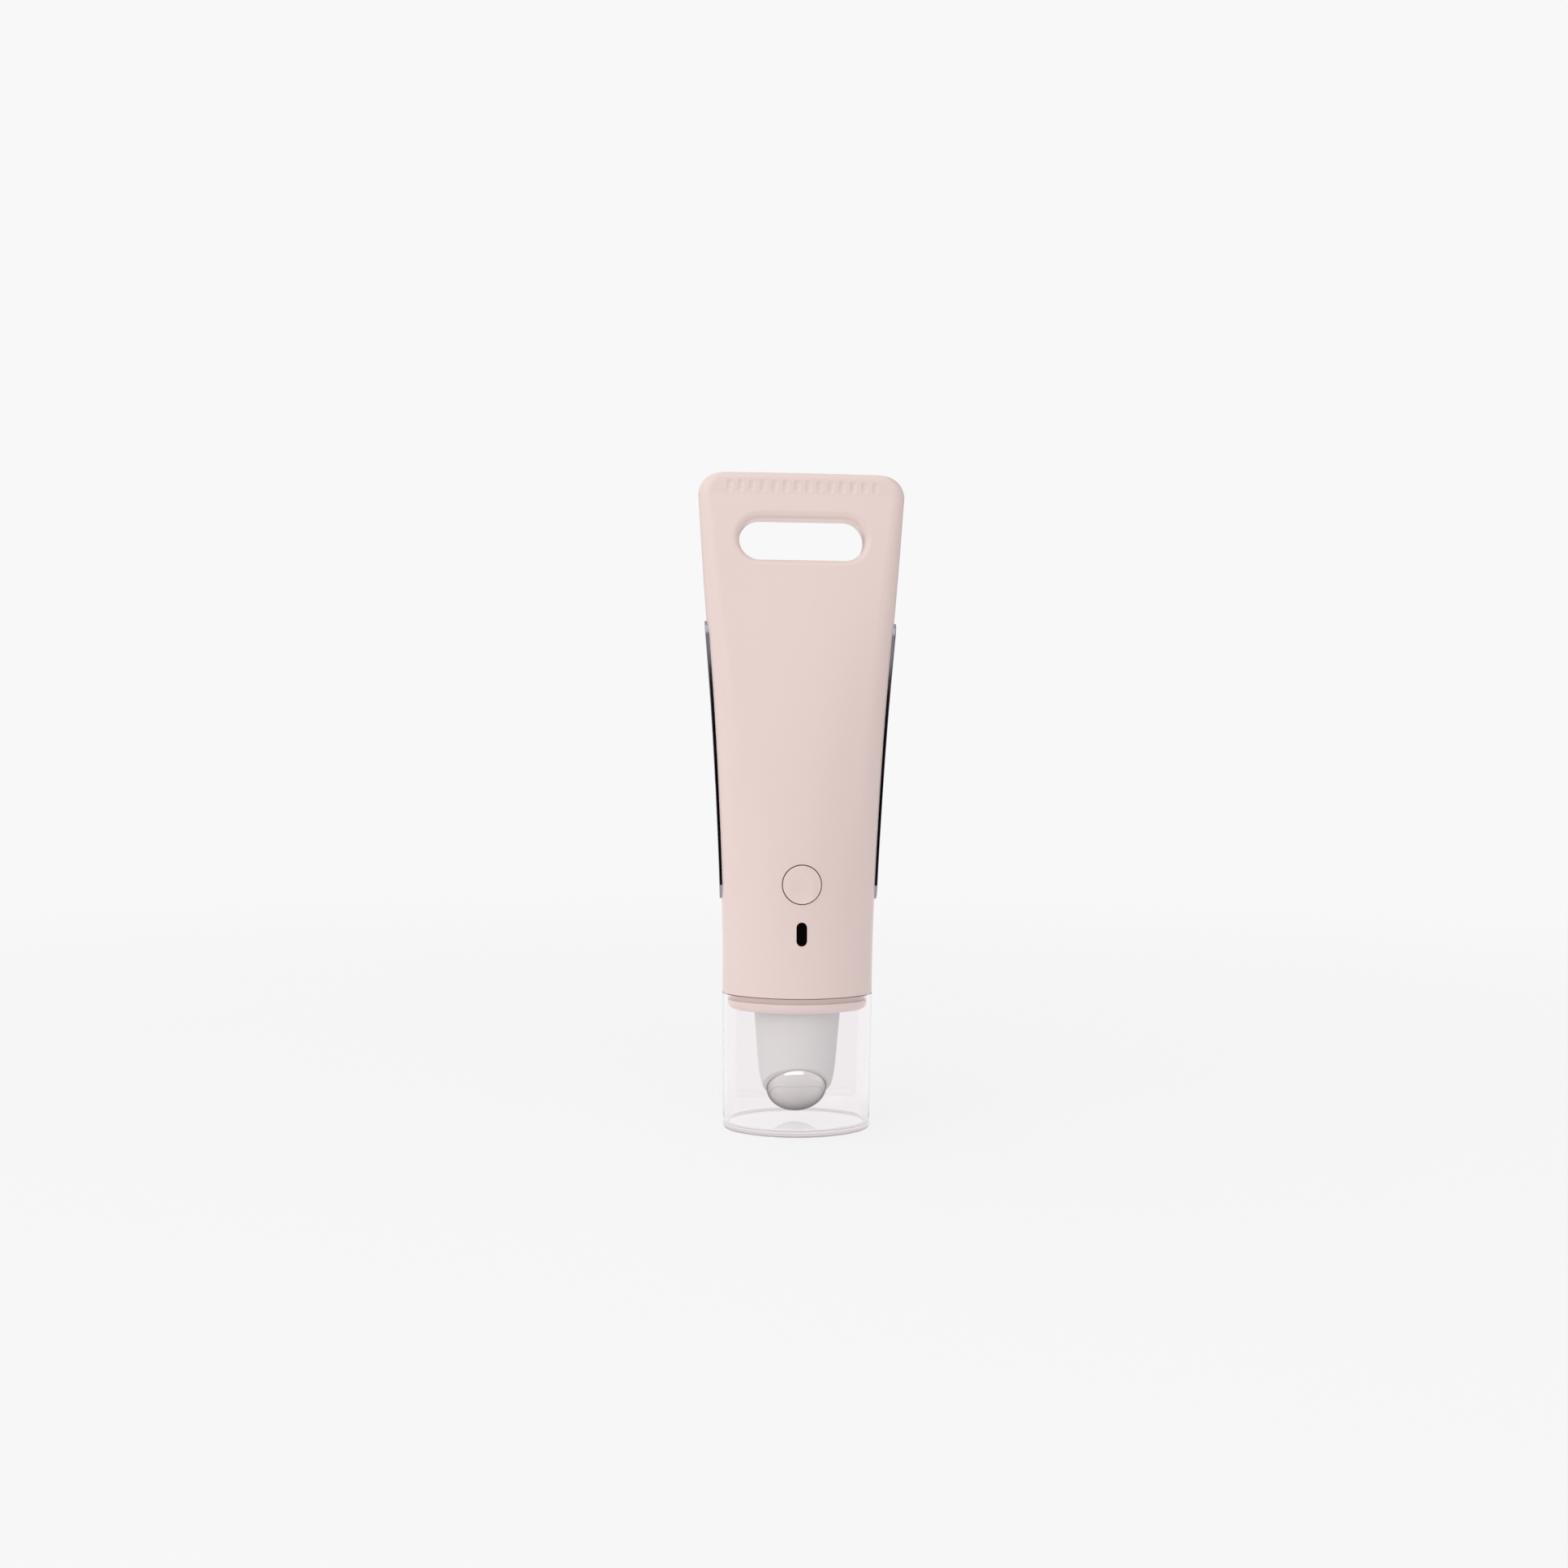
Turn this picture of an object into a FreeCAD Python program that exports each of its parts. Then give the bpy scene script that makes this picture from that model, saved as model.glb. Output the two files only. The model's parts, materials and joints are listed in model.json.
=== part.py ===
import FreeCAD
import Part
import functools
import math
import os

# An eye massager shaped like a squeezed cosmetics tube. It stands on its clear cap, tip down.
# Frame: +Z runs up the tube, the button side faces -Y, the origin is the middle of the cap's foot.
# Lengths are millimetres and angles are degrees. A depth runs front to back, a width side to side.

# Tube
total_height = 132.0
neck_width = 30.3
neck_depth = 22.0
crimp_width = 41.9
crimp_depth = 6.2
crimp_corner = 4.4
crimp_edge_radius = 1.1
shell_wall = 1.5
seam_groove_width = 0.24
seam_groove_depth = 0.3
lip_wall = 0.5
lip_height = 0.8
lip_clearance = 0.05
# Each row: share of the tube's length, of the change in width, of the change in depth,
# and the side arc's radius as a share of the half depth.
tube_station_shares = [
    (0.0, 0.0, 0.0, 0.78),
    (0.167, 0.045, 0.03, 0.78),
    (0.365, 0.2, 0.215, 0.78),
    (0.528, 0.37, 0.405, 0.79),
    (0.686, 0.585, 0.61, 0.8),
    (0.835, 0.8, 0.81, 0.83),
    (0.925, 0.91, 0.915, 0.86),
    (1.0, 1.0, 1.0, 0.88),
]
shoulder_turns = [0, 15, 30, 45, 60, 70, 78, 84, 90]

# Finger slot and the crimp's flutes
slot_length = 25.4
slot_height = 8.5
slot_drop = 9.2
slot_edge_radius = 1.3
flute_count = 14
flute_pitch = 2.27
flute_radius = 1.4
flute_depth = 0.17
flute_length = 2.7
flute_drop = 1.5

# Clear cap
cap_wall = 0.95
cap_floor = 1.2
cap_tip_room = 1.25
cap_draft = 0.35
cap_foot_radius = 0.6
seam_gap = 0.2
cap_clearance = 0.12

# Neck collar
collar_height = 3.35
collar_floor = 1.9
collar_edge_radius = 1.6
collar_groove_height = 1.35
collar_groove_depth = 0.65
collar_skirt_height = 4.2
collar_skirt_wall = 1.2
skirt_clearance = 0.08

# Massage head
head_length = 21.6
barrel_width_share = 0.5714
barrel_depth_share = 0.64
barrel_taper_width = 1.96
barrel_taper_depth = 0.7
barrel_wall = 1.2
barrel_round = 11.2
barrel_round_sink = 1.15
barrel_round_shares = [0.22, 0.44, 0.63, 0.79, 0.91]
barrel_rim_radius = 0.3
barrel_clearance = 0.12
flange_height = 1.6
flange_inset = 0.3
gasket_height = 0.6
tip_side_rim = 1.67
tip_end_rim = 0.55
tip_bulge = 3.7
tip_slope = 37.0
tip_plug_inset = 2.4
tip_plug_depth = 1.5
tip_plug_clearance = 0.05
heater_inset = 0.3
heater_thickness = 0.3
recess_spare = 0.3

# Vibration motor
motor_length = 9.5
motor_floor_gap = 0.4
motor_lift_above_weight = 0.6
bore_floor = 0.65
motor_bore_share = 0.632
boot_inset = 0.2
boot_clearance = 0.02
shaft_radius = 0.5
shaft_depth = 4.0
shaft_clearance = 0.03
weight_gap = 0.4
weight_length = 2.8

# Head screws
head_screw_radius = 0.75
head_screw_length = 3.5
head_screw_head_radius = 1.3
head_screw_head_height = 0.9
screw_clearance = 0.05
screw_slot_width = 0.4
screw_slot_depth = 0.4

# Main board
board_width = 22.0
board_thickness = 1.0
board_lift = 5.2
board_top_share = 0.359
board_corner = 1.5
boss_radius = 2.1
boss_across = 17.0
boss_end_margin = 3.0
board_screw_radius = 0.65
board_screw_length = 5.0
board_screw_head_radius = 1.25
board_screw_head_height = 0.8
pilot_spare = 1.0

# Button and switch
button_lift = 22.25
button_radius = 3.75
button_gap = 0.2
button_proud = 0.2
button_dish_radius = 17.0
button_dish_depth = 0.25
button_travel = 0.4
button_ring_wall = 1.5
button_ring_depth = 0.9
button_flange_lap = 0.75
button_flange_thickness = 0.8
button_flange_gap = 0.05
button_stem_radius = 1.6
switch_width = 6.0
switch_height = 3.4
switch_corner = 0.4
plunger_radius = 1.6
plunger_clearance = 0.1
plunger_proud = 1.6
plunger_root = 0.6
plunger_well_spare = 0.3

# Indicator
window_width = 2.0
window_height = 4.6
window_drop = 9.7
window_clearance = 0.05
window_recess = 0.05
window_flange = 0.6
window_flange_thickness = 0.9
window_flange_gap = 0.5
led_width = 1.6
led_height = 0.8
led_thickness = 0.6
led_spacing = 2.2
led_gap = 0.2

# Charging socket
socket_width = 8.94
socket_height = 3.26
socket_wall = 0.3
socket_lift = 15.2
socket_recess = 0.5
socket_clearance = 0.2
socket_floor_share = 0.35
tongue_width = 6.65
tongue_thickness = 0.7
tongue_recess = 0.6
tongue_clearance = 0.02

# Side electrodes
electrode_width = 3.4
electrode_length = 56.0
electrode_end_length = 2.8
electrode_lift = 18.75
electrode_proud = 0.42
electrode_pocket = 0.6
electrode_clearance = 0.05
electrode_edge_radius = 0.15
stud_radius = 0.9
stud_clearance = 0.1
stud_drop = 7.0
stud_reach = 1.0
contact_width = 2.5
contact_thickness = 0.3
contact_lap = 1.6

# Cell, pads and leads
cell_width = 20.0
cell_thickness = 5.0
cell_place_shares = (0.42, 0.757)
cell_corner = 1.4
guard_width = 17.0
guard_height = 2.4
guard_thickness = 1.2
pad_side_margin = 3.5
pad_end_margin = 6.0
pad_clearance = 0.05
lead_radius = 0.38
lead_spacing = 3.2
lead_bend_share = 0.45
lead_turn_shares = (0.4, 0.8)
lead_lap = 4.0
tip_lead_gap = 0.05
tip_lead_spacing = 1.0
lead_room = 0.2

# Small board components: across, up and standing sizes, and where they sit as shares of the board
controller_size = 4.0
controller_height = 0.9
inductor_size = 3.2
inductor_height = 1.8
capacitor_width = 1.6
capacitor_height = 0.8
component_place_shares = [(-0.24, 0.7), (0.22, 0.72), (0.02, 0.62), (0.02, 0.82)]

# Every cutter runs past what it cuts by the overrun, and faces this near count as level
overrun = 2.0
level_tolerance = 0.002
proud_edge_share = 0.9

# Heights and places that several pieces share
cap_height = cap_floor + cap_tip_room + head_length + collar_height - seam_gap
seam_z = cap_height + seam_gap
shoulder_z = total_height - crimp_corner
tube_length = shoulder_z - seam_z
slot_z = total_height - slot_drop - slot_height / 2
collar_z = seam_z - collar_height
skirt_top_z = seam_z + collar_skirt_height
head_bottom_z = collar_z - head_length
gasket_z = collar_z + collar_floor
flange_z = gasket_z + gasket_height
flange_top_z = flange_z + flange_height
board_z = seam_z + board_lift
board_top_z = seam_z + board_top_share * tube_length
board_length = board_top_z - board_z
board_front_y = -board_thickness / 2
board_rear_y = board_thickness / 2
button_z = seam_z + button_lift
window_z = button_z - window_drop
socket_z = seam_z + socket_lift
stud_z = board_top_z - stud_drop
cell_z = seam_z + cell_place_shares[0] * tube_length
cell_top_z = seam_z + cell_place_shares[1] * tube_length

# The head fits inside the neck: a flange within the collar's skirt, a barrel within the flange,
# the motor's bore within the barrel, and the tip within the barrel's slanted end
slope = math.radians(tip_slope)
skirt_room_inset = shell_wall + skirt_clearance + collar_skirt_wall
flange_edge_inset = skirt_room_inset + flange_inset
barrel_width = barrel_width_share * neck_width
barrel_depth = barrel_depth_share * neck_depth
barrel_end_width = barrel_width - barrel_taper_width
barrel_end_depth = barrel_depth - barrel_taper_depth
bore_radius = min(barrel_end_width, barrel_end_depth) / 2 - barrel_wall
motor_radius = motor_bore_share * bore_radius
weight_radius = motor_radius - weight_gap
tip_width = barrel_end_width - 2 * tip_side_rim
tip_length = (barrel_end_depth - 2 * tip_end_rim) / math.cos(slope)

# The tip's slanted face: its middle, the way up its slope, and the way out of it
tip_reach = math.hypot(tip_length / 2 * math.sin(slope), tip_bulge * math.cos(slope))
face_middle = FreeCAD.Vector(0, 0, head_bottom_z + tip_reach)
face_up = FreeCAD.Vector(0, -math.cos(slope), math.sin(slope))
face_out = FreeCAD.Vector(0, -math.sin(slope), -math.cos(slope))
recess_depth = tip_plug_depth + heater_thickness + recess_spare

# The motor stands on its weight's room, above the recess behind the tip
recess_top_z = (face_middle - face_out * recess_depth + face_up * (tip_length / 2 - tip_plug_inset)).z
bore_z = recess_top_z + bore_floor
weight_z = bore_z + motor_floor_gap
motor_z = weight_z + weight_length + motor_lift_above_weight
motor_top_z = motor_z + motor_length


def point(x, y, z):
    return FreeCAD.Vector(x, y, z)


def mix(first, last, share):
    return first + (last - first) * share


def oval_wire(half_width, half_depth, side_radius, z):
    # Four arcs, each tangent to the next: two flat crowns front and back, two tight sides
    reach = half_width - side_radius
    crown_rise = reach ** 2 + half_depth ** 2 - side_radius ** 2
    crown_radius = crown_rise / (2 * (half_depth - side_radius))
    tangent_x = crown_radius * reach / (crown_radius - side_radius)
    tangent_y = (crown_radius - half_depth) * side_radius / (crown_radius - side_radius)
    corners = [
        point(tangent_x, -tangent_y, z),
        point(tangent_x, tangent_y, z),
        point(-tangent_x, tangent_y, z),
        point(-tangent_x, -tangent_y, z),
    ]
    middles = [
        point(half_width, 0, z),
        point(0, half_depth, z),
        point(-half_width, 0, z),
        point(0, -half_depth, z),
    ]
    arcs = []
    for index in range(len(corners)):
        following = corners[(index + 1) % len(corners)]
        arcs.append(Part.Arc(corners[index], middles[index], following).toShape())
    return Part.Wire(arcs)


def tube_size(station):
    length_share, width_share, depth_share, side_share = station
    z = seam_z + length_share * tube_length
    half_width = mix(neck_width, crimp_width, width_share) / 2
    half_depth = mix(neck_depth, crimp_depth, depth_share) / 2
    return half_width, half_depth, side_share * half_depth, z


@functools.lru_cache(maxsize=None)
def tube_solid(inset, below=0):
    # The tube from neck to shoulder, moved in everywhere by an inset, and carried on below the neck
    wires = []
    for station in tube_station_shares:
        half_width, half_depth, side_radius, z = tube_size(station)
        if below and not wires:
            wires.append(oval_wire(half_width - inset, half_depth - inset, side_radius - inset, z - below))
        wires.append(oval_wire(half_width - inset, half_depth - inset, side_radius - inset, z))
    return Part.makeLoft(wires, True, False)


def shoulder_solid():
    # The crimped end, whose corners round over in width and whose edge rounds over in depth
    half_width, half_depth, side_radius, z = tube_size(tube_station_shares[-1])
    edge_start = crimp_corner - crimp_edge_radius
    wires = []
    for turn in shoulder_turns:
        rise = crimp_corner * math.sin(math.radians(turn))
        narrowing = crimp_corner * (1 - math.cos(math.radians(turn)))
        edge_share = max(0, rise - edge_start) / crimp_edge_radius
        thinning = crimp_edge_radius * (1 - math.sqrt(max(0, 1 - edge_share ** 2)))
        depth = half_depth - thinning
        wires.append(oval_wire(half_width - narrowing, depth, side_radius - thinning, z + rise))
    return Part.makeLoft(wires, True, False)


def stadium_face(length, height, centre, across, up):
    # A slot outline in the plane of two unit vectors, its long way along the first
    radius = height / 2
    run = length / 2 - radius
    right = centre + across * run
    left = centre - across * run
    edges = [
        Part.LineSegment(left + up * radius, right + up * radius).toShape(),
        Part.Arc(right + up * radius, right + across * radius, right - up * radius).toShape(),
        Part.LineSegment(right - up * radius, left - up * radius).toShape(),
        Part.Arc(left - up * radius, left - across * radius, left + up * radius).toShape(),
    ]
    return Part.Face(Part.Wire(edges))


def slot_prism(length, height, z, y_from, y_to):
    # A slot lying along X, standing from one depth to another
    face = stadium_face(length, height, point(0, y_from, z), point(1, 0, 0), point(0, 0, 1))
    return face.extrude(point(0, y_to - y_from, 0))


def upright_slot_prism(width, height, z, y_from, y_to):
    # A slot standing along Z
    face = stadium_face(height, width, point(0, y_from, z), point(0, 0, 1), point(1, 0, 0))
    return face.extrude(point(0, y_to - y_from, 0))


def rod_along_y(radius, x, z, y_from, y_to):
    return Part.makeCylinder(radius, y_to - y_from, point(x, y_from, z), point(0, 1, 0))


def box_between(low, high):
    return Part.makeBox(high.x - low.x, high.y - low.y, high.z - low.z, low)


def rounded_box(low, high, corner, axis):
    # A box whose four edges along one axis are rounded
    box = box_between(low, high)
    edges = []
    for edge in box.Edges:
        direction = edge.tangentAt(edge.FirstParameter)
        if abs(direction.dot(axis)) > abs(direction.cross(axis).Length):
            edges.append(edge)
    return box.makeFillet(corner, edges)


def surface_y(solid, x, z):
    # How far forward a solid reaches on the line through x and z
    line = Part.makeLine(point(x, -neck_depth, z), point(x, 0, z))
    return solid.common(line).BoundBox.YMin


def half_space(front):
    reach = max(crimp_width, total_height)
    low_y = -reach if front else 0
    return box_between(point(-reach, low_y, -reach), point(reach, low_y + reach, total_height + reach))


def ellipse_about(middle, across, along):
    # An ellipse from its two half axes, of which the longer one leads
    first, second = (across, along) if across.Length >= along.Length else (along, across)
    return Part.Wire([Part.Ellipse(middle + first, middle + second, middle).toShape()])


def ellipse_wire(half_width, half_depth, z):
    return ellipse_about(point(0, 0, z), point(half_width, 0, 0), point(0, half_depth, 0))


def slanted_prism(half_width, half_length, depth_from, depth_to):
    # An oval prism square to the tip's face, between two depths behind it
    middle = face_middle - face_out * depth_from
    face = Part.Face(ellipse_about(middle, point(half_width, 0, 0), face_up * half_length))
    return face.extrude(face_out * (depth_from - depth_to))


def lead_tube(points):
    # Straight runs joined by tangent arcs as large as the runs allow, swept by a round section
    edges = []
    start = points[0]
    for index in range(1, len(points) - 1):
        before = points[index] - points[index - 1]
        after = points[index + 1] - points[index]
        turn = before.getAngle(after)
        setback = lead_bend_share * min(before.Length, after.Length)
        bend_radius = setback / math.tan(turn / 2)
        before.normalize()
        after.normalize()
        arc_start = points[index] - before * setback
        arc_end = points[index] + after * setback
        inward = after - before
        inward.normalize()
        centre = points[index] + inward * (bend_radius / math.cos(turn / 2))
        arc_middle = centre - inward * bend_radius
        edges.append(Part.LineSegment(start, arc_start).toShape())
        edges.append(Part.Arc(arc_start, arc_middle, arc_end).toShape())
        start = arc_end
    edges.append(Part.LineSegment(start, points[-1]).toShape())
    route = Part.Wire(edges)
    section = Part.Wire([Part.Circle(points[0], points[1] - points[0], lead_radius).toShape()])
    return route.makePipeShell([section], True, False)


def screw(radius, length, head_radius, head_height, seat, direction):
    # A screw whose head rests on a seat and whose shank goes along a direction, with a driver slot
    shank = Part.makeCylinder(radius, length, seat, direction)
    head = Part.makeCylinder(head_radius, head_height, seat - direction * head_height, direction)
    across = point(1, 0, 0)
    along = direction.cross(across)
    top = seat - direction * head_height
    corner = top - across * head_radius - along * (screw_slot_width / 2)
    slot = Part.Face(Part.makePolygon([
        corner,
        corner + across * (2 * head_radius),
        corner + across * (2 * head_radius) + along * screw_slot_width,
        corner + along * screw_slot_width,
        corner,
    ])).extrude(direction * screw_slot_depth)
    return shank.fuse(head).removeSplitter().cut(slot)


def flutes(outer):
    # Upright rounded grooves pressed across both faces of the crimped end
    top_z = total_height - flute_drop - flute_radius / 2
    low_z = top_z - flute_length + flute_radius
    cutters = []
    for index in range(flute_count):
        x = (index - (flute_count - 1) / 2) * flute_pitch
        low_y = surface_y(outer, x, low_z) - flute_radius + flute_depth
        top_y = surface_y(outer, x, top_z) - flute_radius + flute_depth
        for side in (1, -1):
            low = point(x, low_y * side, low_z)
            top = point(x, top_y * side, top_z)
            rod = Part.makeCylinder(flute_radius, (top - low).Length, low, top - low)
            ends = [Part.makeSphere(flute_radius, end) for end in (low, top)]
            cutters.append(rod.fuse(ends))
    return cutters


def tube_outer():
    # The whole closed tube with its finger slot and flutes
    outer = tube_solid(0).fuse(shoulder_solid()).removeSplitter()
    grooves = flutes(outer)
    slotted = outer.cut(slot_prism(slot_length, slot_height, slot_z, -neck_depth, neck_depth))
    rims = []
    for edge in slotted.Edges:
        box = edge.BoundBox
        inside_length = box.XMin > -slot_length / 2 - overrun and box.XMax < slot_length / 2 + overrun
        inside_height = abs(box.ZMin - slot_z) < slot_height and abs(box.ZMax - slot_z) < slot_height
        if inside_length and inside_height and box.YMax * box.YMin > 0:
            rims.append(edge)
    return slotted.makeFillet(slot_edge_radius, rims).cut(grooves)


def electrode_outline(side, grow):
    # A strip with oval ends seen from the side, extruded out from the middle of the tube
    across = point(0, electrode_width / 2 + grow, 0)
    along = point(0, 0, electrode_end_length + grow)
    low = point(0, 0, seam_z + electrode_lift + electrode_end_length)
    high = low + point(0, 0, electrode_length - 2 * electrode_end_length)
    corners = [low - across, low + across, high + across, high - across]
    outward = point(side * crimp_width, 0, 0)
    bar = Part.Face(Part.makePolygon(corners + corners[:1])).extrude(outward)
    ends = [Part.Face(ellipse_about(middle, across, along)).extrude(outward) for middle in (low, high)]
    return bar.fuse(ends).removeSplitter()


def stud_rod(side, radius, x_from, x_to):
    start = point(side * x_from, 0, stud_z)
    return Part.makeCylinder(radius, x_to - x_from, start, point(side, 0, 0))


def stud_wall_x():
    # The tube's outside half width at the stud's height
    line = Part.makeLine(point(0, 0, stud_z), point(crimp_width, 0, stud_z))
    return tube_solid(0).common(line).BoundBox.XMax


def shells():
    outer = tube_outer()
    surround = slot_prism(
        slot_length + 2 * shell_wall, slot_height + 2 * shell_wall, slot_z, -neck_depth, neck_depth
    )
    cavity = tube_solid(shell_wall, overrun).cut(surround)
    hollow = outer.cut(cavity)
    pocket_floor = tube_solid(electrode_pocket)
    for side in (1, -1):
        hollow = hollow.cut(electrode_outline(side, electrode_clearance).cut(pocket_floor))
        hollow = hollow.cut(stud_rod(side, stud_radius + stud_clearance, 0, crimp_width))
    groove_slab = box_between(
        point(-crimp_width, -seam_groove_width / 2, seam_z - overrun),
        point(crimp_width, seam_groove_width / 2, shoulder_z),
    )
    hollow = hollow.cut(groove_slab.cut(tube_solid(seam_groove_depth, 2 * overrun)))
    front = hollow.common(half_space(True)).cut(lip_band(lip_clearance))
    rear = hollow.common(half_space(False).fuse(lip_band(0)))
    return front, rear


def lip_band(grow):
    # A band along the inside of the front shell's edge, where the rear shell's lip goes in
    band = tube_solid(shell_wall - lip_wall - grow).cut(tube_solid(shell_wall, overrun))
    return band.common(box_between(
        point(-crimp_width, -lip_height - grow, seam_z), point(crimp_width, 0, shoulder_z)
    ))


def boss_places():
    places = []
    for z in (board_z + boss_end_margin, board_top_z - boss_end_margin):
        for x in (-boss_across / 2, boss_across / 2):
            places.append((x, z))
    return places


def button_front_y():
    return surface_y(tube_solid(0), 0, button_z)


def button_ring_y():
    # The inner end of the ring that guides the button
    return button_front_y() + shell_wall + button_ring_depth


def front_shell(front):
    inner_skin = tube_solid(shell_wall / 2)
    for x, z in boss_places():
        boss = rod_along_y(boss_radius, x, z, -neck_depth, board_front_y)
        front = front.fuse(boss.common(inner_skin))
    ring_radius = button_radius + button_gap + button_ring_wall
    ring = rod_along_y(ring_radius, 0, button_z, -neck_depth, button_ring_y())
    front = front.fuse(ring.common(inner_skin))
    pilot_radius = board_screw_radius + screw_clearance
    pilot_end_y = board_rear_y - board_screw_length - pilot_spare
    for x, z in boss_places():
        front = front.cut(rod_along_y(pilot_radius, x, z, pilot_end_y, board_front_y + overrun))
    hole_radius = button_radius + button_gap
    hole_end_y = button_ring_y() + overrun
    front = front.cut(rod_along_y(hole_radius, 0, button_z, -neck_depth, hole_end_y))
    window = upright_slot_prism(
        window_width + 2 * window_clearance, window_height + 2 * window_clearance, window_z, -neck_depth, 0
    )
    return front.cut(window).removeSplitter()


def rear_shell(rear):
    opening = slot_prism(
        socket_width + 2 * socket_clearance, socket_height + 2 * socket_clearance, socket_z, 0, neck_depth
    )
    return rear.cut(opening)


def neck_section(inset, z):
    half_width, half_depth, side_radius, _ = tube_size(tube_station_shares[0])
    return oval_wire(half_width - inset, half_depth - inset, side_radius - inset, z)


def neck_prism(inset, z_from, z_to):
    return Part.Face(neck_section(inset, z_from)).extrude(point(0, 0, z_to - z_from))


def lower_edges(solid, z):
    return [edge for edge in solid.Edges if edge.BoundBox.ZMax < z + level_tolerance]


def clear_cap():
    outer = Part.makeLoft([neck_section(cap_draft, 0), neck_section(0, cap_height)], True, True)
    outer = outer.makeFillet(cap_foot_radius, lower_edges(outer, 0))
    floor_share = cap_floor / cap_height
    floor_inset = mix(cap_draft, 0, floor_share) + cap_wall
    lower = neck_section(floor_inset, cap_floor)
    upper = neck_section(cap_wall, cap_height)
    inner = Part.makeLoft([lower, upper], True, True)
    inner = inner.makeFillet(cap_foot_radius, lower_edges(inner, cap_floor))
    return outer.cut(inner)


def barrel_half_sizes(z):
    # The barrel's half width and half depth before its end rounds off
    round_z = head_bottom_z - barrel_round_sink + barrel_round
    share = (collar_z - z) / (collar_z - round_z)
    return mix(barrel_width, barrel_end_width, share) / 2, mix(barrel_depth, barrel_end_depth, share) / 2


def neck_collar():
    inset = cap_wall + cap_clearance
    plug = neck_prism(inset, collar_z, seam_z)
    plug = plug.makeFillet(collar_edge_radius, lower_edges(plug, collar_z))
    groove_z = seam_z - collar_groove_height
    groove = neck_prism(0, groove_z, seam_z).cut(neck_prism(inset + collar_groove_depth, groove_z, seam_z))
    skirt_inset = shell_wall + skirt_clearance
    skirt = neck_prism(skirt_inset, seam_z, skirt_top_z)
    room = neck_prism(skirt_room_inset, gasket_z, skirt_top_z + overrun)
    half_width, half_depth = barrel_half_sizes(gasket_z)
    hole = Part.Face(ellipse_wire(
        half_width + barrel_clearance, half_depth + barrel_clearance, collar_z - overrun
    )).extrude(point(0, 0, overrun + collar_height + overrun))
    collar = plug.fuse(skirt).removeSplitter().cut(groove).cut(room).cut(hole)
    for place in head_screw_places():
        depth = head_screw_length + screw_clearance
        collar = collar.cut(Part.makeCylinder(
            head_screw_radius + screw_clearance, depth, place, point(0, 0, -1)
        ))
    return collar


def head_screw_places():
    # On the flange's top, midway between the barrel and the flange's edge
    half_width, _ = barrel_half_sizes(flange_z)
    x = (half_width + neck_width / 2 - flange_edge_inset) / 2
    return [point(-x, 0, flange_top_z), point(x, 0, flange_top_z)]


def flange_plate(z_from, z_to):
    plate = neck_prism(flange_edge_inset, z_from, z_to)
    for place in head_screw_places():
        start = point(place.x, place.y, z_from - overrun)
        hole = Part.makeCylinder(head_screw_radius + screw_clearance, z_to - z_from + 2 * overrun, start)
        plate = plate.cut(hole)
    return plate


def head_barrel():
    round_z = head_bottom_z - barrel_round_sink + barrel_round
    wires = []
    for z in (flange_z, collar_z, (collar_z + round_z) / 2, round_z):
        half_width, half_depth = barrel_half_sizes(z)
        wires.append(ellipse_wire(half_width, half_depth, z))
    for drop_share in barrel_round_shares:
        z = round_z - barrel_round * drop_share
        half_width, half_depth = barrel_half_sizes(z)
        closing = math.sqrt(1 - drop_share ** 2)
        wires.append(ellipse_wire(half_width * closing, half_depth, z))
    barrel = Part.makeLoft(wires, True, False)
    barrel = barrel.cut(slanted_prism(head_length, head_length, 0, -head_length))
    rims = []
    for edge in barrel.Edges:
        box = edge.BoundBox
        if box.ZMax < collar_z and box.ZLength > tip_bulge:
            rims.append(edge)
    barrel = barrel.makeFillet(barrel_rim_radius, rims)
    plug_half_width = tip_width / 2 - tip_plug_inset + tip_plug_clearance
    plug_half_length = tip_length / 2 - tip_plug_inset + tip_plug_clearance
    barrel = barrel.fuse(flange_plate(flange_z, flange_top_z)).removeSplitter()
    barrel = barrel.cut(slanted_prism(plug_half_width, plug_half_length, recess_depth, -overrun))
    barrel = barrel.cut(Part.makeCylinder(bore_radius, flange_top_z - bore_z + overrun, point(0, 0, bore_z)))
    start_z = behind_face(tip_lead_y(), tip_plug_depth).z
    passage = Part.makeCylinder(tip_lead_half(), bore_z - start_z + overrun, point(0, tip_lead_y(), start_z))
    return barrel.cut(passage)


def behind_face(y, depth):
    # The point at a given y on the plane that lies a given depth behind the tip's face
    middle = face_middle - face_out * depth
    return middle + face_up * ((y - middle.y) / face_up.y)


def tip_lead_y():
    # The tip's leads pass behind the motor, in a notch of its rubber boot
    return motor_radius + lead_radius + tip_lead_gap


def tip_lead_half():
    # Half the width of the room that the tip's two leads need side by side
    return tip_lead_spacing / 2 + lead_radius + lead_room


def head_gasket():
    half_width, half_depth = barrel_half_sizes(flange_z)
    plate = flange_plate(gasket_z, flange_z)
    hole = Part.Face(ellipse_wire(
        half_width + barrel_clearance, half_depth + barrel_clearance, gasket_z - overrun
    )).extrude(point(0, 0, gasket_height + 2 * overrun))
    return plate.cut(hole)


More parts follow.
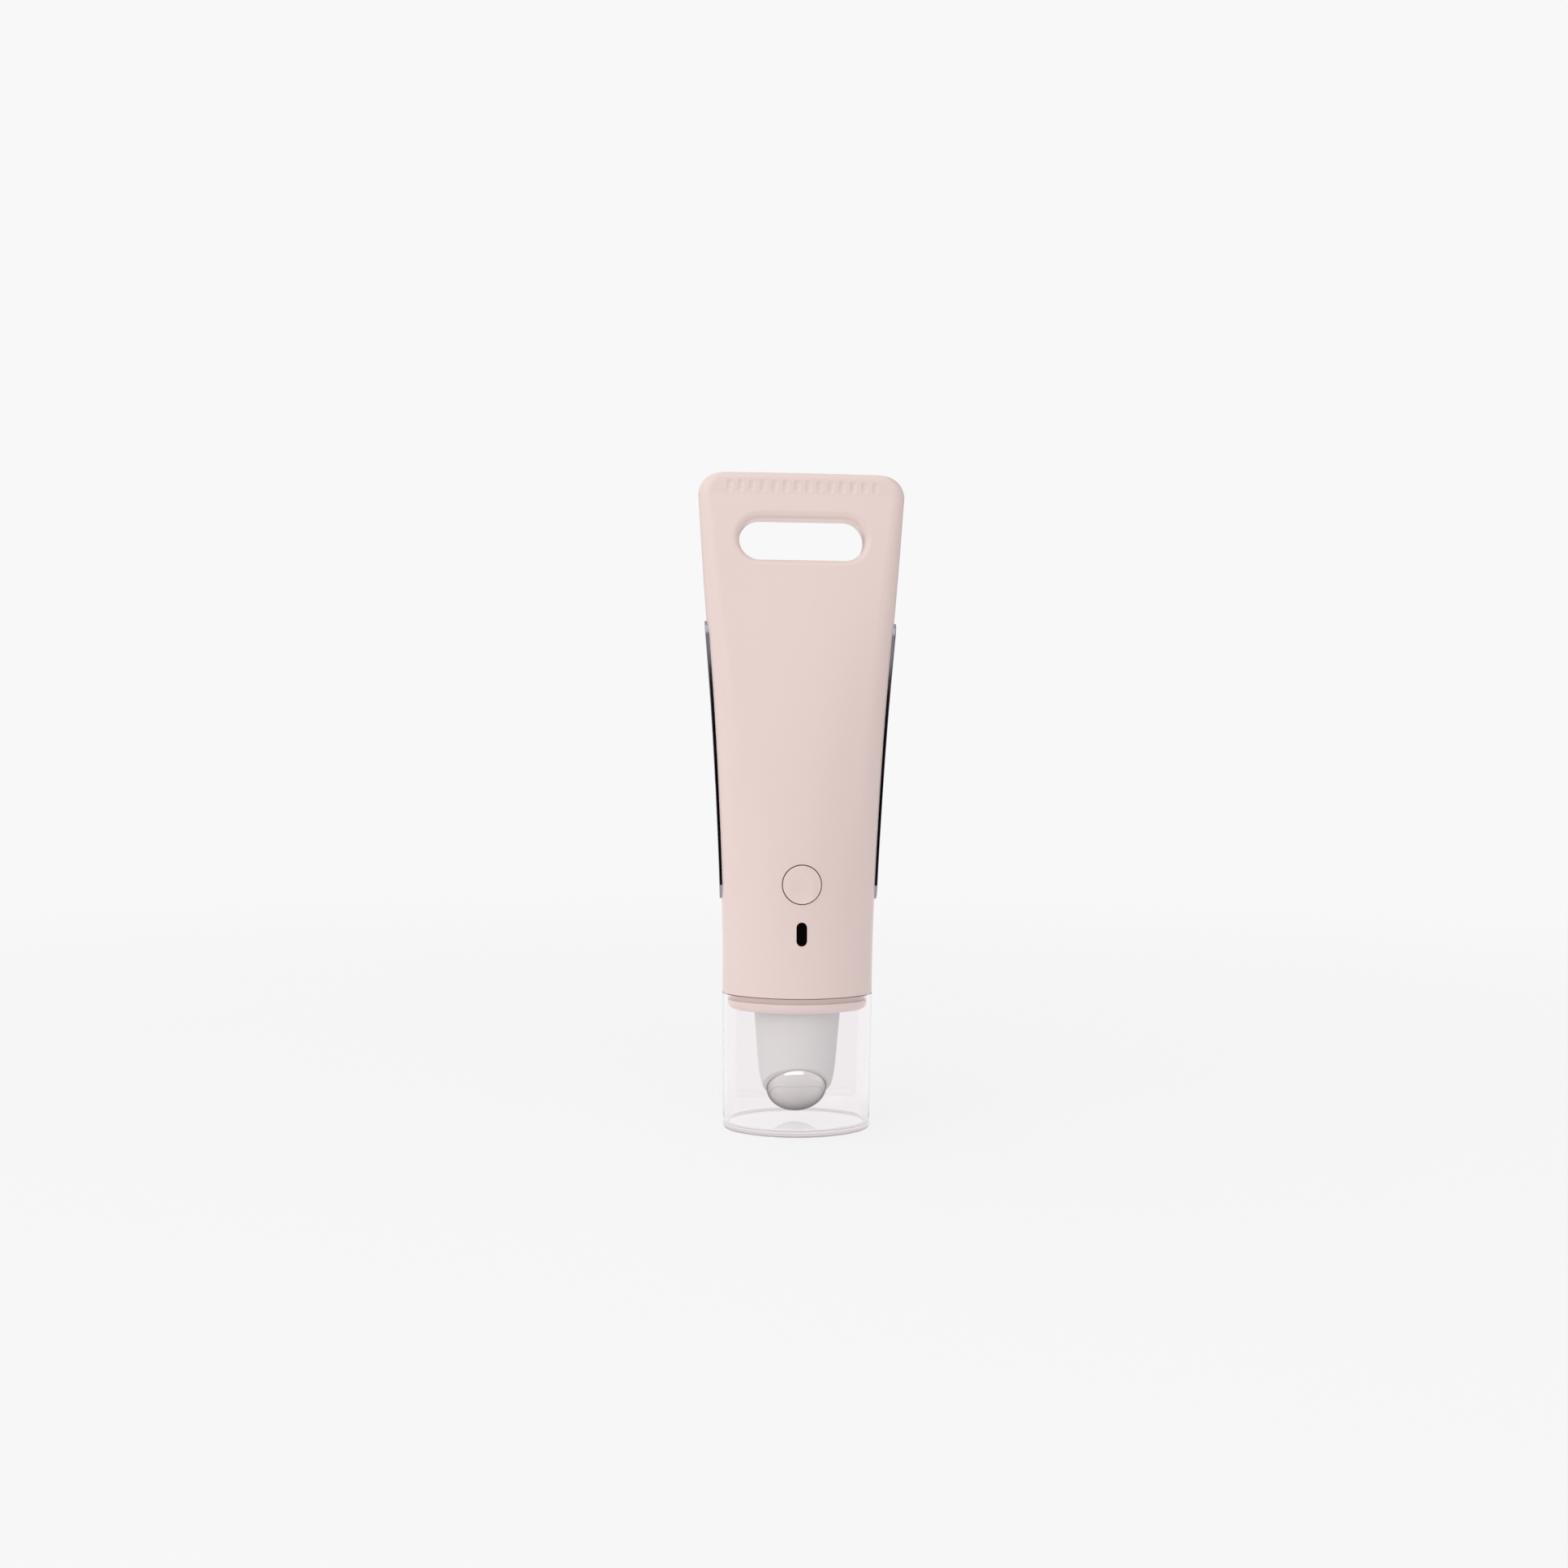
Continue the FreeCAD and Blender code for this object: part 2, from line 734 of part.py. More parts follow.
def massage_tip():
    # A flattened dome on the slanted face, with a plug that locates it in the barrel
    ball = Part.makeSphere(1)
    stretch = FreeCAD.Matrix()
    stretch.scale(tip_width / 2, tip_length / 2, tip_bulge)
    dome = ball.transformGeometry(stretch)
    across = point(1, 0, 0)
    turn = FreeCAD.Matrix(
        across.x, face_up.x, face_out.x, face_middle.x,
        across.y, face_up.y, face_out.y, face_middle.y,
        across.z, face_up.z, face_out.z, face_middle.z,
        0, 0, 0, 1,
    )
    dome = dome.transformGeometry(turn)
    behind = slanted_prism(tip_width, tip_length, 0, 2 * tip_bulge)
    dome = dome.cut(behind)
    plug = slanted_prism(tip_width / 2 - tip_plug_inset, tip_length / 2 - tip_plug_inset, tip_plug_depth, 0)
    return dome.fuse(plug).removeSplitter()


def tip_heater():
    inset = tip_plug_inset + heater_inset
    return slanted_prism(
        tip_width / 2 - inset, tip_length / 2 - inset, tip_plug_depth + heater_thickness, tip_plug_depth
    )


def motor_can():
    can = Part.makeCylinder(motor_radius, motor_length, point(0, 0, motor_z))
    hole = Part.makeCylinder(shaft_radius + shaft_clearance, shaft_depth, point(0, 0, motor_z))
    return can.cut(hole)


def motor_shaft():
    length = motor_z + shaft_depth - shaft_clearance - weight_z
    return Part.makeCylinder(shaft_radius, length, point(0, 0, weight_z))


def motor_weight():
    half = Part.makeCylinder(weight_radius, weight_length, point(0, 0, weight_z), point(0, 0, 1), 180)
    hub = Part.makeCylinder(2 * shaft_radius, weight_length, point(0, 0, weight_z))
    hole = Part.makeCylinder(shaft_radius, weight_length, point(0, 0, weight_z))
    return half.fuse(hub).removeSplitter().cut(hole)


def motor_boot():
    start = motor_z + boot_inset
    length = motor_length - 2 * boot_inset
    sleeve = Part.makeCylinder(bore_radius - boot_clearance, length, point(0, 0, start))
    hole = Part.makeCylinder(motor_radius + boot_clearance, length, point(0, 0, start))
    notch = box_between(
        point(-tip_lead_half(), 0, start - overrun),
        point(tip_lead_half(), bore_radius + overrun, start + length + overrun),
    )
    return sleeve.cut(hole).cut(notch)


def head_screws():
    screws = []
    for place in head_screw_places():
        screws.append(screw(
            head_screw_radius, head_screw_length, head_screw_head_radius, head_screw_head_height,
            place, point(0, 0, -1),
        ))
    return Part.makeCompound(screws)


def main_board():
    board = rounded_box(
        point(-board_width / 2, board_front_y, board_z),
        point(board_width / 2, board_rear_y, board_top_z),
        board_corner, point(0, 1, 0),
    )
    for x, z in boss_places():
        hole = rod_along_y(board_screw_radius + screw_clearance, x, z, -overrun, overrun)
        board = board.cut(hole)
    return board


def board_screws():
    screws = []
    for x, z in boss_places():
        screws.append(screw(
            board_screw_radius, board_screw_length, board_screw_head_radius, board_screw_head_height,
            point(x, board_rear_y, z), point(0, -1, 0),
        ))
    return Part.makeCompound(screws)


def board_components():
    sizes = [
        (controller_size, controller_size, controller_height),
        (inductor_size, inductor_size, inductor_height),
        (capacitor_width, capacitor_height, capacitor_height),
        (capacitor_width, capacitor_height, capacitor_height),
    ]
    solids = []
    for (across, up, standing), (x_share, z_share) in zip(sizes, component_place_shares):
        x = x_share * board_width
        z = board_z + z_share * board_length
        solids.append(box_between(
            point(x - across / 2, board_rear_y, z - up / 2),
            point(x + across / 2, board_rear_y + standing, z + up / 2),
        ))
    return Part.makeCompound(solids)


def switch_front_y():
    return board_front_y - switch_height


def plunger_front_y():
    return switch_front_y() - plunger_proud


def switch_body():
    half = switch_width / 2
    body = rounded_box(
        point(-half, switch_front_y(), button_z - half),
        point(half, board_front_y, button_z + half),
        switch_corner, point(0, 1, 0),
    )
    well_end_y = switch_front_y() + plunger_root + button_travel + plunger_well_spare
    well_radius = plunger_radius + plunger_clearance
    well = rod_along_y(well_radius, 0, button_z, switch_front_y() - overrun, well_end_y)
    return body.cut(well)


def switch_plunger():
    return rod_along_y(plunger_radius, 0, button_z, plunger_front_y(), switch_front_y() + plunger_root)


def button_cap():
    # Its face follows the tube's own curve, a little proud of it, and is dished for the fingertip
    flange_y = button_ring_y() + button_flange_gap
    skin = tube_solid(0).translated(point(0, -button_proud, 0))
    face_y = button_front_y() - button_proud
    head = rod_along_y(button_radius, 0, button_z, -neck_depth, flange_y).common(skin)
    dish_centre = point(0, face_y - button_dish_radius + button_dish_depth, button_z)
    head = head.cut(Part.makeSphere(button_dish_radius, dish_centre))
    flange_radius = button_radius + button_gap + button_flange_lap
    flange = rod_along_y(flange_radius, 0, button_z, flange_y, flange_y + button_flange_thickness)
    stem = rod_along_y(button_stem_radius, 0, button_z, flange_y, plunger_front_y())
    return head.fuse([flange, stem]).removeSplitter()


def indicator_lens():
    # A smoked light guide that fills the window and reaches back to the lamps
    led_face_y = board_front_y - led_thickness
    guide = upright_slot_prism(window_width, window_height, window_z, -neck_depth, led_face_y - led_gap)
    guide = guide.common(tube_solid(window_recess))
    wall_y = surface_y(tube_solid(shell_wall), 0, window_z) + window_flange_gap
    flange = upright_slot_prism(
        window_width + 2 * window_flange, window_height + 2 * window_flange, window_z,
        wall_y, wall_y + window_flange_thickness,
    )
    return guide.fuse(flange).removeSplitter()


def indicator_lamps():
    lamps = []
    for step in (-1, 1):
        z = window_z + step * led_spacing / 2
        lamps.append(box_between(
            point(-led_width / 2, board_front_y - led_thickness, z - led_height / 2),
            point(led_width / 2, board_front_y, z + led_height / 2),
        ))
    return Part.makeCompound(lamps)


def socket_mouth_y():
    return -surface_y(tube_solid(0), 0, socket_z) - socket_recess


def socket_shell():
    outer = slot_prism(socket_width, socket_height, socket_z, board_rear_y, socket_mouth_y())
    inner = slot_prism(
        socket_width - 2 * socket_wall, socket_height - 2 * socket_wall, socket_z,
        board_rear_y - overrun, socket_mouth_y() + overrun,
    )
    return outer.cut(inner)


def socket_tongue():
    # The moulded floor of the socket and the flat tongue that carries its contacts
    floor_y = mix(board_rear_y, socket_mouth_y(), socket_floor_share)
    inset = 2 * (socket_wall + tongue_clearance)
    floor = slot_prism(socket_width - inset, socket_height - inset, socket_z, board_rear_y, floor_y)
    tongue = box_between(
        point(-tongue_width / 2, board_rear_y, socket_z - tongue_thickness / 2),
        point(tongue_width / 2, socket_mouth_y() - tongue_recess, socket_z + tongue_thickness / 2),
    )
    return floor.fuse(tongue).removeSplitter()


def electrode(side):
    # A plated strip let into the shells over their joint, with a stud through to the inside.
    # Its outer face is flat from front to back and follows the tube's side line from end to end.
    side_view = Part.Face(tube_solid(-electrode_proud).slice(point(0, 1, 0), 0))
    slab = side_view.translated(point(0, -electrode_width, 0)).extrude(point(0, 2 * electrode_width, 0))
    strip = electrode_outline(side, 0).common(slab).cut(tube_solid(electrode_pocket))
    rims = []
    for edge in strip.Edges:
        middle = edge.valueAt((edge.FirstParameter + edge.LastParameter) / 2)
        outside = Part.Vertex(middle).distToShape(tube_solid(0))[0]
        if outside > electrode_proud * proud_edge_share:
            rims.append(edge)
    strip = strip.makeFillet(electrode_edge_radius, rims)
    inner_x = stud_wall_x() - shell_wall - stud_reach
    stud = stud_rod(side, stud_radius, inner_x, stud_wall_x() - electrode_pocket)
    return strip.fuse(stud).removeSplitter()


def electrode_contacts():
    # Bent leaves from the board's edges to the studs
    stud_x = stud_wall_x() - shell_wall - stud_reach
    leaves = []
    for side in (1, -1):
        board_x = board_width / 2
        rear_y = board_rear_y + contact_thickness
        outline = [
            (board_x - contact_lap, rear_y),
            (stud_x, rear_y),
            (stud_x, -stud_radius),
            (stud_x - contact_thickness, -stud_radius),
            (stud_x - contact_thickness, board_rear_y),
            (board_x - contact_lap, board_rear_y),
        ]
        corners = [point(side * x, y, stud_z - contact_width / 2) for x, y in outline]
        face = Part.Face(Part.makePolygon(corners + corners[:1]))
        leaves.append(face.extrude(point(0, 0, contact_width)))
    return Part.makeCompound(leaves)


def battery_cell():
    return rounded_box(
        point(-cell_width / 2, -cell_thickness / 2, cell_z),
        point(cell_width / 2, cell_thickness / 2, cell_top_z),
        cell_corner, point(0, 0, 1),
    )


def battery_pads():
    # Foam pads that fill the wedge between the cell and each shell
    room = tube_solid(shell_wall + pad_clearance)
    half_width = cell_width / 2 - pad_side_margin
    pads = []
    for side in (-1, 1):
        near = side * cell_thickness / 2
        far = side * neck_depth / 2
        block = box_between(
            point(-half_width, min(near, far), cell_z + pad_end_margin),
            point(half_width, max(near, far), cell_top_z - pad_end_margin),
        )
        pads.append(block.common(room))
    return Part.makeCompound(pads)


def lead_rest_y():
    return board_rear_y + lead_radius


def board_lead_pair(start_z, edge_z, end_z):
    # Two leads from a piece on the middle plane to pads on the board's rear face
    first_share, last_share = lead_turn_shares
    tubes = []
    for side in (-1, 1):
        x = side * lead_spacing / 2
        tubes.append(lead_tube([
            point(x, 0, start_z),
            point(x, 0, mix(start_z, edge_z, first_share)),
            point(x, lead_rest_y(), mix(start_z, edge_z, last_share)),
            point(x, lead_rest_y(), end_z),
        ]))
    return Part.makeCompound(tubes)


def cell_guard():
    # The small safety board across the cell's lower end
    return box_between(
        point(-guard_width / 2, -guard_thickness / 2, cell_z - guard_height),
        point(guard_width / 2, guard_thickness / 2, cell_z),
    )


def battery_leads():
    return board_lead_pair(cell_z - guard_height, board_top_z, board_top_z - lead_lap / 2)


def motor_leads():
    return board_lead_pair(motor_top_z, board_z, board_z + lead_lap / 2)


def tip_leads():
    # From the heater's back, up past the motor and over to the board
    y = tip_lead_y()
    heater_depth = tip_plug_depth + heater_thickness
    start_z = behind_face(y, heater_depth).z - lead_radius
    turn_z = mix(motor_top_z, board_z, lead_turn_shares[0])
    in_front = slanted_prism(tip_width, tip_length, heater_depth, -overrun)
    tubes = []
    for side in (-1, 1):
        x = side * tip_lead_spacing / 2
        tubes.append(lead_tube([
            point(x, y, start_z),
            point(x, y, turn_z),
            point(x, lead_rest_y(), board_z),
            point(x, lead_rest_y(), board_z + lead_lap),
        ]).cut(in_front))
    return Part.makeCompound(tubes)


def build():
    front, rear = shells()
    return {
        "front_shell": front_shell(front),
        "rear_shell": rear_shell(rear),
        "clear_cap": clear_cap(),
        "neck_collar": neck_collar(),
        "head_barrel": head_barrel(),
        "head_gasket": head_gasket(),
        "head_screws": head_screws(),
        "massage_tip": massage_tip(),
        "tip_heater": tip_heater(),
        "motor_can": motor_can(),
        "motor_shaft": motor_shaft(),
        "motor_weight": motor_weight(),
        "motor_boot": motor_boot(),
        "main_board": main_board(),
        "board_screws": board_screws(),
        "board_components": board_components(),
        "switch_body": switch_body(),
        "switch_plunger": switch_plunger(),
        "button_cap": button_cap(),
        "indicator_lens": indicator_lens(),
        "indicator_lamps": indicator_lamps(),
        "socket_shell": socket_shell(),
        "socket_tongue": socket_tongue(),
        "right_electrode": electrode(1),
        "left_electrode": electrode(-1),
        "electrode_contacts": electrode_contacts(),
        "battery_cell": battery_cell(),
        "cell_guard": cell_guard(),
        "battery_pads": battery_pads(),
        "battery_leads": battery_leads(),
        "motor_leads": motor_leads(),
        "tip_leads": tip_leads(),
    }


def main():
    os.makedirs("parts", exist_ok=True)
    for name, shape in build().items():
        print(name, "solids", len(shape.Solids), "valid", shape.isValid(), "volume", round(shape.Volume, 2))
        shape.exportStep(os.path.join("parts", name + ".step"))


main()
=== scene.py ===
import json
import math
import bpy
import numpy as np
from mathutils import Matrix, Vector


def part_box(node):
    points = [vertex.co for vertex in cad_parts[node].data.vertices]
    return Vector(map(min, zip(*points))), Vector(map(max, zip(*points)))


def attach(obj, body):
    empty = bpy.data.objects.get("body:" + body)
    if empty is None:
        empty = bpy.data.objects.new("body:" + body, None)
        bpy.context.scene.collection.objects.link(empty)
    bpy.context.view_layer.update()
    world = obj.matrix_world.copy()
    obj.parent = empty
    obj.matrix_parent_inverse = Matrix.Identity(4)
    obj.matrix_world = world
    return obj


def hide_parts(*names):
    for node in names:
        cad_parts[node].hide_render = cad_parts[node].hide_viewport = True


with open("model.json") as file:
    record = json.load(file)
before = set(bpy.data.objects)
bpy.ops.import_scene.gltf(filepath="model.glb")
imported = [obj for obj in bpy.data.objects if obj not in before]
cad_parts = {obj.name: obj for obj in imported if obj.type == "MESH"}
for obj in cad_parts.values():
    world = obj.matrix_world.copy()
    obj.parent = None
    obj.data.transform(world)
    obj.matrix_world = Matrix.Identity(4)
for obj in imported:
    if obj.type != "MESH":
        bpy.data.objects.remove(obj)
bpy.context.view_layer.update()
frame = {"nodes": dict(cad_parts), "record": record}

nodes = frame["nodes"]
print("frame loaded,", len(nodes), "nodes")


# sRGB hex to the linear values that sockets hold
def hexLinear(code):
    shares = np.array([int(code[i:i + 2], 16) for i in (1, 3, 5)]) / 255
    linear = np.where(shares <= 0.04045, shares / 12.92, ((shares + 0.055) / 1.055) ** 2.4)
    return (*linear.tolist(), 1.0)


# Scale of a pattern that has one feature in so many millimetres of Object coordinates
def perMm(millimetres):
    return 1000 / millimetres


# Adds a node: settings are its own properties, links maps inputs to sockets or to plain values
def addNode(tree, kind, links=None, **settings):
    node = tree.nodes.new(kind)
    for name, value in settings.items():
        setattr(node, name, value)
    for name, value in (links or {}).items():
        if isinstance(value, bpy.types.NodeSocket):
            tree.links.new(value, node.inputs[name])
        else:
            node.inputs[name].default_value = value
    return node


def newMaterial(name):
    material = bpy.data.materials.new(name)
    material.use_nodes = True
    material.node_tree.nodes.clear()
    return material, material.node_tree


def endMaterial(tree, shader):
    addNode(tree, "ShaderNodeOutputMaterial", {"Surface": shader.outputs[0]})


# The slow drift of colour that moulding, plating or rolling leaves in a surface
def driftColour(tree, place, look):
    drift = addNode(tree, "ShaderNodeTexNoise", {
        "Vector": place, "Scale": perMm(look["driftMm"]), "Detail": 2.0})
    return addNode(tree, "ShaderNodeMix", {
        "Factor": drift.outputs["Fac"],
        "A": hexLinear(look["colour"]), "B": hexLinear(look["colourDrift"])}, data_type="RGBA")


noiseSpan = (0.3, 0.7)   # nearly all of a noise lies in here


# The finer drift of gloss and the shallow waviness of that surface, drawn out along an axis by stretch
def endSurface(tree, place, colour, look):
    drawn = addNode(tree, "ShaderNodeMapping", {
        "Vector": place, "Scale": look.get("stretch", (1.0, 1.0, 1.0))})
    grain = addNode(tree, "ShaderNodeTexNoise", {
        "Vector": drawn.outputs["Vector"], "Scale": perMm(look["grainMm"]), "Detail": 3.0})
    gloss = addNode(tree, "ShaderNodeMapRange", {
        "Value": grain.outputs["Fac"], "From Min": noiseSpan[0], "From Max": noiseSpan[1],
        "To Min": look["roughness"][0], "To Max": look["roughness"][1]})
    bump = addNode(tree, "ShaderNodeBump", {
        "Height": grain.outputs["Fac"], "Strength": 1.0, "Distance": look["wavinessMm"] / 1000})
    endMaterial(tree, addNode(tree, "ShaderNodeBsdfPrincipled", {
        "Base Color": colour.outputs["Result"], "Roughness": gloss.outputs["Result"],
        "Normal": bump.outputs["Normal"], **look["shader"]}))


# A solid plain material. Its sizes are in millimetres.
def surfaceMaterial(name, look):
    material, tree = newMaterial(name)
    place = addNode(tree, "ShaderNodeTexCoord").outputs["Object"]
    endSurface(tree, place, driftColour(tree, place, look), look)
    return material


# Materials

materials = {}

# Moulded ABS off a fine-honed tool: powder pink, a soft satin gloss and a barely visible orange peel
materials["pink_abs"] = surfaceMaterial("moulded satin ABS, powder pink", dict(
    colour="#EBD6D1", colourDrift="#E9D3CE", driftMm=30, grainMm=0.8,
    roughness=(0.275, 0.295), wavinessMm=0.0003, shader={"IOR": 1.54}))


# Clear polystyrene from a polished tool: no colour, thin bright edges and slow flow waves in the wall. The
# thick foot, seen edge on, is tinted a faint rose grey as painted shade, and a painted shade line runs round
# its outside just above the inner floor.
def clearPolystyrene(look):
    material, tree = newMaterial("moulded clear polystyrene")
    place = addNode(tree, "ShaderNodeTexCoord").outputs["Object"]
    height = addNode(tree, "ShaderNodeSeparateXYZ", {0: place}).outputs["Z"]
    # Painted shade: the foot is tinted rose grey towards its bottom.
    low = addNode(tree, "ShaderNodeMapRange", {
        "Value": height, "From Min": look["footShadeMm"][1] / 1000, "From Max": look["footShadeMm"][0] / 1000})
    footShadeColour = addNode(tree, "ShaderNodeMix", {
        "Factor": low.outputs["Result"], "A": driftColour(tree, place, look).outputs["Result"],
        "B": hexLinear(look["foot"])}, data_type="RGBA")
    # Painted shade line round the outside, just above the inner floor.
    atShadeLine = addNode(tree, "ShaderNodeMath", {
        0: height, 1: look["lineMm"][0] / 1000, 2: look["lineMm"][1] / 1000}, operation="COMPARE")
    outside = addNode(tree, "ShaderNodeAttribute", attribute_name="outside")
    lineShare = addNode(tree, "ShaderNodeMath", {
        0: atShadeLine.outputs[0], 1: outside.outputs["Fac"]}, operation="MULTIPLY")
    colour = addNode(tree, "ShaderNodeMix", {
        "Factor": lineShare.outputs[0], "A": footShadeColour.outputs["Result"],
        "B": hexLinear(look["line"])}, data_type="RGBA")
    endSurface(tree, place, colour, look)
    return material


materials["clear_styrene"] = clearPolystyrene(dict(
    colour="#FEFCFD", colourDrift="#FDFAFB", driftMm=20, grainMm=3.0,
    # The foot's rose grey is painted shade.
    foot="#C2B2B5", footShadeMm=(0.9, 1.18),       # full below the first height, gone at the second
    # Painted shade line round the outside of the cap, given by its middle and half its width.
    line="#C3B0B9", lineMm=(1.32, 0.15),      # middle and half the width
    roughness=(0.0, 0.015), wavinessMm=0.00005, shader={"IOR": 1.57, "Transmission Weight": 1.0}))

# ABS with silver flake, spark-eroded tool: a soft grey sheen that shows no clear reflection
materials["silver_abs"] = surfaceMaterial("satin silver ABS", dict(
    colour="#E0DCDC", colourDrift="#DCD8D8", driftMm=12, grainMm=0.35,
    roughness=(0.42, 0.5), wavinessMm=0.0015, shader={"IOR": 1.54}))

# Zinc casting, buffed and plated: mirrors the board and the lamp with soft edges, darker where it turns
# down, where it mirrors the shaded board, and darkened more by a painted-shade edge tint
materials["polished_metal"] = surfaceMaterial("polished plated zinc", dict(
    colour="#E6E3E2", colourDrift="#E0DDDC", driftMm=8, grainMm=0.9,
    roughness=(0.14, 0.18), wavinessMm=0.0004,
    # The dark edge tint is painted shade: it darkens the reflection where the surface turns edge-on.
    shader={"Metallic": 1.0, "Specular Tint": hexLinear("#8A8585")}))

# Dark nickel on a polished strip: black where it mirrors the dark room, bright at its rounded ends
materials["plated_strip"] = surfaceMaterial("polished dark nickel plate", dict(
    colour="#A29EA6", colourDrift="#9A969F", driftMm=10, grainMm=1.2,
    roughness=(0.05, 0.09), wavinessMm=0.0004, shader={"Metallic": 1.0}))

# Smoked acrylic, flame-polished: black until a lamp behind it is lit, with one sharp reflection
materials["smoked_acrylic"] = surfaceMaterial("smoked acrylic", dict(
    colour="#060404", colourDrift="#0A0707", driftMm=4, grainMm=1.0,
    roughness=(0.03, 0.06), wavinessMm=0.0003, shader={"IOR": 1.49}))

# Moulded silicone: dull, near black, with the fine tooth of the tool
materials["seal_rubber"] = surfaceMaterial("moulded silicone rubber", dict(
    colour="#3A3838", colourDrift="#2E2C2C", driftMm=5, grainMm=0.25,
    roughness=(0.55, 0.68), wavinessMm=0.004, shader={"IOR": 1.41}))

# Zinc plate on steel: cool bright grey with small cloudy flecks
materials["steel"] = surfaceMaterial("zinc-plated steel", dict(
    colour="#BFC2C6", colourDrift="#A3A7AD", driftMm=0.9, grainMm=0.3,
    roughness=(0.24, 0.38), wavinessMm=0.001, shader={"Metallic": 1.0}))

# Etched foil between polyimide films: clear amber with slow ripples from the bonding press
materials["heater_film"] = surfaceMaterial("polyimide heater film", dict(
    colour="#C07A30", colourDrift="#9C5A1E", driftMm=1.4, grainMm=1.8,
    roughness=(0.2, 0.32), wavinessMm=0.006, shader={"IOR": 1.7}))

# Deep-drawn can: bright steel with fine lines up its length from the die
materials["motor_steel"] = surfaceMaterial("deep-drawn steel", dict(
    colour="#C6C8CA", colourDrift="#B1B3B7", driftMm=3, grainMm=0.12, stretch=(1.0, 1.0, 0.03),
    roughness=(0.18, 0.32), wavinessMm=0.0015, shader={"Metallic": 1.0}))

# Sintered heavy alloy: dark grey, a tight grain of pressed powder
materials["tungsten"] = surfaceMaterial("sintered tungsten alloy", dict(
    colour="#82817E", colourDrift="#656462", driftMm=0.4, grainMm=0.12,
    roughness=(0.36, 0.52), wavinessMm=0.004, shader={"Metallic": 1.0}))

# Transfer-moulded epoxy: charcoal, evenly matt like fine emery paper
materials["chip_epoxy"] = surfaceMaterial("moulded chip epoxy", dict(
    colour="#1B1B1D", colourDrift="#29292C", driftMm=1.5, grainMm=0.08,
    roughness=(0.48, 0.6), wavinessMm=0.002, shader={"IOR": 1.55}))

# Glass-filled nylon: black satin with pale fibre ends near the surface, in the switch and in the socket
materials["switch_nylon"] = surfaceMaterial("glass-filled black nylon", dict(
    colour="#222224", colourDrift="#353538", driftMm=0.5, grainMm=0.2, stretch=(0.25, 1.0, 1.0),
    roughness=(0.38, 0.52), wavinessMm=0.0015, shader={"IOR": 1.53}))
materials["socket_nylon"] = surfaceMaterial("high-temperature black nylon", dict(
    colour="#19191B", colourDrift="#2A2A2D", driftMm=0.5, grainMm=0.2, stretch=(0.25, 1.0, 1.0),
    roughness=(0.36, 0.48), wavinessMm=0.0012, shader={"IOR": 1.53}))

# Lamp epoxy over phosphor: pale yellow and glossy, a little cloudy
materials["lamp_epoxy"] = surfaceMaterial("lamp epoxy over phosphor", dict(
    colour="#EFE9C8", colourDrift="#E4D9A6", driftMm=0.6, grainMm=0.8,
    roughness=(0.12, 0.22), wavinessMm=0.0008, shader={"IOR": 1.55}))

# Rolled phosphor bronze: warm spring metal with rolling lines along the leaf
materials["contact_bronze"] = surfaceMaterial("rolled phosphor bronze", dict(
    colour="#CFA067", colourDrift="#B98850", driftMm=1.5, grainMm=0.1, stretch=(0.04, 1.0, 1.0),
    roughness=(0.22, 0.36), wavinessMm=0.001, shader={"Metallic": 1.0}))

# Aluminium laminate: soft silver skin that dents and ripples over the cell inside
materials["cell_pouch"] = surfaceMaterial("aluminium laminate pouch", dict(
    colour="#CDCFD2", colourDrift="#BABCC1", driftMm=6, grainMm=2.4,
    roughness=(0.22, 0.34), wavinessMm=0.02, shader={"Metallic": 1.0}))


# Closed-cell foam, cut: pits about 0.5 mm across between paler walls, the pits darkened with painted shade
def cutFoam(look):
    material, tree = newMaterial("cut closed-cell foam")
    place = addNode(tree, "ShaderNodeTexCoord").outputs["Object"]
    pores = addNode(tree, "ShaderNodeTexVoronoi", {"Vector": place, "Scale": perMm(look["poreMm"])})
    # Painted shade: darker towards the middle of each pore.
    colour = addNode(tree, "ShaderNodeMix", {
        "Factor": pores.outputs["Distance"],
        "A": hexLinear(look["shadedPit"]), "B": hexLinear(look["wall"])}, data_type="RGBA")
    bump = addNode(tree, "ShaderNodeBump", {
        "Height": pores.outputs["Distance"], "Distance": look["poreDepthMm"] / 1000})
    endMaterial(tree, addNode(tree, "ShaderNodeBsdfPrincipled", {
        "Base Color": colour.outputs["Result"], "Normal": bump.outputs["Normal"],
        "Roughness": look["roughness"]}))
    return material


materials["foam"] = cutFoam(dict(
    wall="#64656A", shadedPit="#38393C", poreMm=0.5, poreDepthMm=0.12, roughness=0.95))


